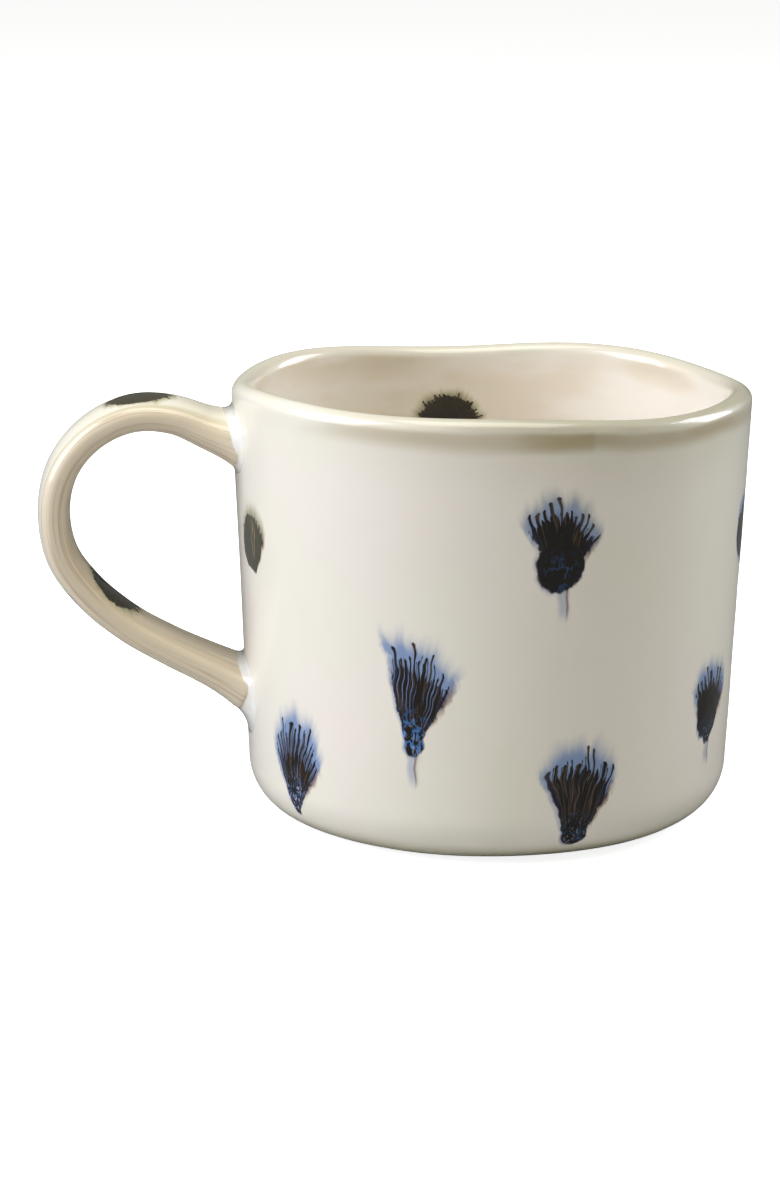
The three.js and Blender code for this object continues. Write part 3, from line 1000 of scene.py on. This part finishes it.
def dab_group(base, name):
    """A dab of reactive glaze: dark strands that fan up from a point below, in a blue haze."""
    tree, n, given, result = new_group(name, DAB_INPUTS, LOOK_OUTPUTS)
    color, base_roughness, base_height = grouped(n, base)
    at = dab_frame(n, given)
    t, run = at["t"], at["run"]
    dark, local, below, lobe_edge = dark_parts(n, given, at)

    haze_tone, haze = haze_color(n, given, at)
    color = n.blend(haze, color, haze_tone)

    # A pale blue line down the left edge, and rust down the right.
    in_body = n.times(n.ease(run, 1.0, 0.80), n.ease(below, -0.6, 0.4))
    left = n.times(n.ease(t, -1.22, -1.05), n.ease(t, -0.90, -1.02))
    lobe_left = n.times(n.ease(lobe_edge, 0.75, 0.20), n.ease(at["x"], -1.0, -2.5))
    left = n.most(n.times(left, in_body), lobe_left)
    color = n.blend(n.times(left, n.times(given["Blue"], 0.65)), color, LAVENDER)
    right = n.times(n.ease(t, 0.92, 1.02), n.ease(n.plus(t, n.times(at["quick"], 0.4)), 1.24, 1.02))
    right = n.times(n.times(right, in_body), n.ease(run, 0.22, 0.55))
    rust_tone = n.blend(n.ease(t, 1.0, 1.18), RUST, PALE_AMBER)
    color = n.blend(n.times(right, n.times(given["Amber"], 0.8)), color, rust_tone)

    # A thin run of glaze below the heel.
    tail_x = n.minus(n.minus(at["x"], given["Focus x"]), n.plus(0.6, n.times(at["slow"], 2.0)))
    drop = n.minus(given["Focus y"], at["y"])
    length = n.times(given["Tail"], 3.6)
    tail = n.times(n.ease(n.size(tail_x), 1.5, 0.3), n.ease(n.minus(drop, length), 0.0, -3.0))
    tail = n.times(n.times(tail, n.ease(drop, -3.0, -1.5)), n.ease(given["Tail"], 0.0, 0.2))
    line = n.ease(n.size(n.minus(tail_x, 0.55)), 0.30, 0.10)
    tail_tone = n.blend(n.ease(tail_x, 0.6, 1.2), LAVENDER, PALE_AMBER)
    color = n.blend(n.times(tail, 0.65), color, tail_tone)
    color = n.blend(n.times(n.times(tail, line), 0.7), color, TAIL_RED)

    heart, fine = heart_color(n, given, at, local, lobe_edge)
    color = n.blend(dark, color, heart)
    n.put(result["Color"], color)
    n.put(result["Roughness"], n.between(dark, base_roughness, 0.09))
    n.put(result["Height"], n.plus(n.times(base_height, n.minus(1.0, dark)),
                                   n.times(dark, n.plus(1.0, n.times(fine, 0.6)))))
    return tree


# How each dab looks. Lengths are in millimetres from the middle of its CAD node. The strands fan
# out from the focus, over an angle of twice the spread, as far as the reach. The thick glaze
# starts at the heel, and parts into strands past the core, a share of the reach. The lobe is
# its round pool, and the other shares say how much of each colour shows.
DAB = dict(half_wide=9.0, half_high=14.0, turn=0.0, focus_x=0.0, focus_y=-12.0, lean=0.05,
           spread=0.38, reach=21.0, skew=0.0, sides=0.14, heel=2.0, fingers=11.0, core=0.72,
           seed=1.0, lobe_x=0.0, lobe_y=-9.0, lobe_size=1.6, blue=1.0, ash=0.0, brown=0.7,
           veins=0.3, pool=0.2, specks=0.3, amber=0.8, tail=0.5, heart=-2.0, thick=0.12)
ASHEN = dict(blue=0.0, ash=0.75, veins=0.0, pool=0.0, specks=0.0, amber=0.25, tail=0.0)
DABS = {
    "wall_mark_1": dict(half_wide=8, half_high=9, focus_x=1.4, focus_y=-7.2, reach=12.8,
                        heel=1.0, lean=-0.08, spread=0.60, sides=0.2, core=0.8, seed=3,
                        lobe_x=-0.2, lobe_y=-0.9, lobe_size=4.7, **{**ASHEN, "amber": 1.0}),
    "wall_mark_2": dict(half_high=12.0, focus_x=-1.3, focus_y=-10.6, reach=20.0, heel=0.6,
                        spread=0.505, lean=0.085, sides=0.26, skew=-0.02, seed=5, veins=0.9,
                        brown=1.0, specks=1.0, pool=0.3, fingers=14, core=0.55,
                        lobe_x=-1.3, lobe_y=-9.3, lobe_size=0.9, tail=0),
    "wall_mark_3": dict(half_high=17.0, focus_x=-1.9, focus_y=-11.0, reach=22.0, heel=2.2,
                        spread=0.345, lean=0.144, skew=-0.09, sides=0.09, seed=1, core=0.68,
                        lobe_x=-1.0, lobe_y=-7.6, lobe_size=1.9, veins=1.0, pool=1.0,
                        specks=0.4, brown=0.8, fingers=12, tail=1.4),
    "wall_mark_4": dict(half_high=14.0, focus_x=-0.4, focus_y=-5.5, reach=16.0, heel=0.0,
                        spread=0.575, lean=0.07, sides=0.20, skew=-0.06, core=0.70, seed=2,
                        lobe_x=-0.7, lobe_y=-1.3, lobe_size=4.3, blue=0.6, veins=0.05,
                        specks=0.0, brown=1.0, tail=1.8, heart=-1.0, fingers=13),
    "wall_mark_5": dict(half_high=12.0, focus_x=-1.0, focus_y=-12.1, reach=21.6, heel=3.0,
                        spread=0.396, lean=0.088, sides=0.15, core=0.71, seed=4, amber=1.0,
                        lobe_x=-0.4, lobe_y=-7.1, lobe_size=2.3, tail=0, fingers=10,
                        veins=0.1, brown=1.0),
    "wall_mark_6": dict(half_wide=8.5, half_high=12, focus_x=0.3, focus_y=-8.5, reach=17.0,
                        heel=1.4, core=0.68, veins=0.1, lean=0.098, spread=0.525, seed=6, lobe_x=0.3,
                        lobe_y=-1.7, lobe_size=4.2, tail=1.0),
    "wall_mark_7": dict(half_wide=8.5, half_high=10.5, focus_x=0.5, focus_y=-8.5, reach=15.0,
                        heel=1.4, spread=0.50, seed=7, lobe_x=-0.3, lobe_y=-0.8, lobe_size=4.4,
                        tail=0),
    "wall_mark_8": dict(half_high=13, focus_y=-11, reach=19.5, lobe_y=-8, seed=8),
    "wall_mark_9": dict(half_high=16.5, focus_x=-1.0, focus_y=-12, reach=22.5, spread=0.34,
                        lean=0.1, skew=-0.1, seed=9, veins=0.8, pool=0.6),
    "wall_mark_10": dict(half_high=12.5, focus_y=-3.5, reach=12.6, heel=0.0, spread=0.70,
                         sides=0.28, core=0.60, seed=10, lobe_y=-1.8, lobe_size=4.2, blue=0.75,
                         tail=1.2, fingers=13),
    "wall_mark_11": dict(half_high=13.5, focus_y=-12, reach=21.0, lobe_y=-8.8, lobe_size=1.9,
                         seed=11, amber=1.0, fingers=10),
    "wall_mark_12": dict(half_high=15.5, focus_y=-12.5, reach=22, spread=0.35, skew=0.1,
                         lean=-0.08, seed=12, veins=0.8, pool=0.7, tail=1.0),
    "wall_mark_13": dict(half_high=12.5, focus_y=-10.5, reach=18.5, lobe_y=-7.8, seed=13,
                         specks=0.9, veins=0.6),
    "inside_mark_1": dict(half_wide=9.5, half_high=8.5, focus_x=-0.6, focus_y=-0.6, reach=7.5,
                          heel=0.0, lean=0.0, spread=2.2, sides=0.0, core=0.80, fingers=38,
                          seed=14, lobe_x=-0.6, lobe_y=-0.6, lobe_size=5.7,
                          **{**ASHEN, "ash": 0.0, "amber": 0.0, "brown": 1.0}),
    "inside_mark_2": dict(half_high=10.5, focus_y=-8.5, reach=15, spread=0.46, seed=15,
                          blue=0.5, lobe_y=-2.0, lobe_size=3.8),
    "inside_mark_3": dict(half_high=10, focus_y=-7.5, reach=13.5, spread=0.5, seed=16,
                          lobe_y=-1.5, lobe_size=4.0, **{**ASHEN, "ash": 0.3}),
    "inside_mark_4": dict(half_high=10.5, focus_y=-8.5, reach=15, spread=0.44, seed=17,
                          blue=0.7, lobe_y=-4.0, lobe_size=3.0),
    "handle_mark_1": dict(half_wide=8.0, half_high=7.0, turn=math.pi / 2, focus_x=0.4,
                          focus_y=-4.4, reach=9.9, heel=0.0, spread=1.2, lean=0.10, sides=0.42,
                          core=0.84, fingers=22, seed=18, lobe_x=0.6, lobe_y=0.0,
                          lobe_size=4.5, **{**ASHEN, "ash": 0.55, "amber": 0.0}),
    "handle_mark_2": dict(half_wide=8.0, half_high=8.5, turn=math.pi / 2, focus_x=0.0,
                          focus_y=-5.5, reach=11.9, heel=0.0, spread=1.2, lean=0.0, sides=0.38,
                          core=0.84, fingers=22, seed=19, lobe_x=0.0, lobe_y=-0.4,
                          lobe_size=5.6, **{**ASHEN, "ash": 0.35, "amber": 0.0}),
    "handle_mark_3": dict(half_wide=6.8, half_high=10, focus_y=-8.5, reach=15, spread=0.42,
                          seed=20, blue=0.5, amber=0.4, tail=0, lobe_y=-3.5, lobe_size=3.2),
}
SHAPE_KEYS = ("heart", "thick")


def dab_material(node, look, tree):
    values = {key.capitalize(): value for key, value in look.items() if key not in SHAPE_KEYS}
    return surface(node + "_look", lambda n: grouped(n, tree, **values), bump=0.3)


def make_dabs(cream, strap):
    wall_tree = dab_group(cream, "feathered_dab")
    strap_tree = dab_group(strap, "feathered_strap_dab")
    for node, changes in DABS.items():
        look = {**DAB, **changes}
        on_handle = node.startswith("handle")
        material = dab_material(node, look, strap_tree if on_handle else wall_tree)
        if on_handle:
            place, spot = strap_placer(node)
            make_patch(node, look, place, 0.0, 0, material, spot)
        else:
            place, station, way = wall_placer(node, node.startswith("inside"))
            make_patch(node, look, place, station, way, material)


# ---- stage ----

CAMERA_PLACE = Vector((-0.0627, -0.5967, 0.1868))
CAMERA_AIM = Vector((-0.0179, 0.0019, 0.0376))
CAMERA_BEARING = -6
LENS = 101.14
SENSOR = 36

WORLD_COLOR = (1.0, 0.97, 0.88)
WORLD_STRENGTH = 0.10
WORLD_IN_GLOSS = 0.12
FLOOR_HALF = 6.0
FLOOR_DROP = 0.0002
FLOOR_COLOR = 0.62
FLOOR_GLOW = 0.86
FLOOR_IN_GLOSS = 0.10

# The soft boxes: bearing from the camera's and rise in degrees, size in metres, watts, colour.
LIGHTS = (
    ("left_key", -75, 30, (0.6, 0.8), 11.2, (0.86, 0.89, 1.0)),
    ("right_window", 118, 24, (0.4, 0.6), 6.6, (0.90, 0.93, 1.0)),
    ("top_light", 0, 80, (0.8, 0.8), 9.4, (1.0, 0.99, 0.86)),
)
LIGHT_AIM = Vector((0, 0, 0.04))
LIGHT_DISTANCE = 1.0


def make_camera():
    """Stands the camera in front and above, with the handle on its left."""
    back = CAMERA_PLACE - CAMERA_AIM
    data = bpy.data.cameras.new("camera")
    data.lens = LENS
    data.sensor_width = SENSOR
    camera = bpy.data.objects.new("camera", data)
    camera.location = CAMERA_PLACE
    camera.rotation_euler = back.to_track_quat("Z", "Y").to_euler()
    bpy.context.scene.collection.objects.link(camera)
    bpy.context.scene.camera = camera


def make_light(name, bearing, rise, size, watts, color):
    """A soft box aimed at the mug; its bearing is taken from the camera's, in degrees."""
    turn, tilt = math.radians(bearing + CAMERA_BEARING), math.radians(rise)
    back = Vector((math.sin(turn) * math.cos(tilt), -math.cos(turn) * math.cos(tilt),
                   math.sin(tilt)))
    data = bpy.data.lights.new(name, "AREA")
    data.shape = "RECTANGLE"
    data.size, data.size_y = size
    data.energy = watts
    data.color = color
    light = bpy.data.objects.new(name, data)
    light.location = LIGHT_AIM + back * LIGHT_DISTANCE
    light.rotation_euler = back.to_track_quat("Z", "Y").to_euler()
    bpy.context.scene.collection.objects.link(light)


def make_world():
    """An even pale surround, white to the eye and dim in the glaze's reflections."""
    world = bpy.data.worlds.new("studio")
    world.use_nodes = True
    n = Nodes(world.node_tree)
    surround = world.node_tree.nodes["Background"]
    surround.inputs["Color"].default_value = (*WORLD_COLOR, 1)
    ray = n.add("ShaderNodeLightPath").outputs
    strength = n.between(ray["Is Glossy Ray"], WORLD_STRENGTH, WORLD_IN_GLOSS)
    n.put(surround.inputs["Strength"], n.between(ray["Is Camera Ray"], strength, 1.0))
    bpy.context.scene.world = world


def floor_material():
    """A pale matt floor, white to the eye and dim in the glaze's reflections."""
    material = bpy.data.materials.new("pale_floor")
    material.use_nodes = True
    shader = material.node_tree.nodes["Principled BSDF"]
    shader.inputs["Roughness"].default_value = 0.9
    shader.inputs["Specular IOR Level"].default_value = 0.0
    shader.inputs["Emission Color"].default_value = (1, 1, 1, 1)
    n = Nodes(material.node_tree)
    ray = n.add("ShaderNodeLightPath").outputs
    n.put(shader.inputs["Emission Strength"], n.times(ray["Is Camera Ray"], FLOOR_GLOW))
    tone = n.between(ray["Is Glossy Ray"], FLOOR_COLOR, FLOOR_IN_GLOSS)
    n.put(shader.inputs["Base Color"], n.vector(tone, tone, tone))
    return material


def make_floor():
    bm = bmesh.new()
    bmesh.ops.create_grid(bm, x_segments=1, y_segments=1, size=FLOOR_HALF)
    bmesh.ops.translate(bm, vec=(0, 0, cad_low.z - FLOOR_DROP), verts=bm.verts)
    mesh = bpy.data.meshes.new("floor")
    bm.to_mesh(mesh)
    bm.free()
    mesh.materials.append(floor_material())
    floor = bpy.data.objects.new("floor", mesh)
    bpy.context.scene.collection.objects.link(floor)


def make_stage():
    """A wide pale table under soft light that comes mostly from the left and from above."""
    make_floor()
    make_world()
    bpy.context.scene.view_settings.view_transform = "Standard"
    for light in LIGHTS:
        make_light(*light)


def main():
    cream = cream_glaze_group()
    strap = strap_look_group()
    make_camera()
    make_vessel(surface("cream_glaze", lambda n: grouped(n, cream)))
    make_foot(surface("bare_clay", clay_look, coat=0.0, bump=0.6))
    make_handle(surface("handle_glaze", lambda n: grouped(n, strap)))
    weld_glaze = surface("weld_glaze", weld_look, coat=1.0)
    make_weld("upper_weld", True, weld_glaze)
    make_weld("lower_weld", False, weld_glaze)
    make_dabs(cream, strap)
    make_stage()


main()
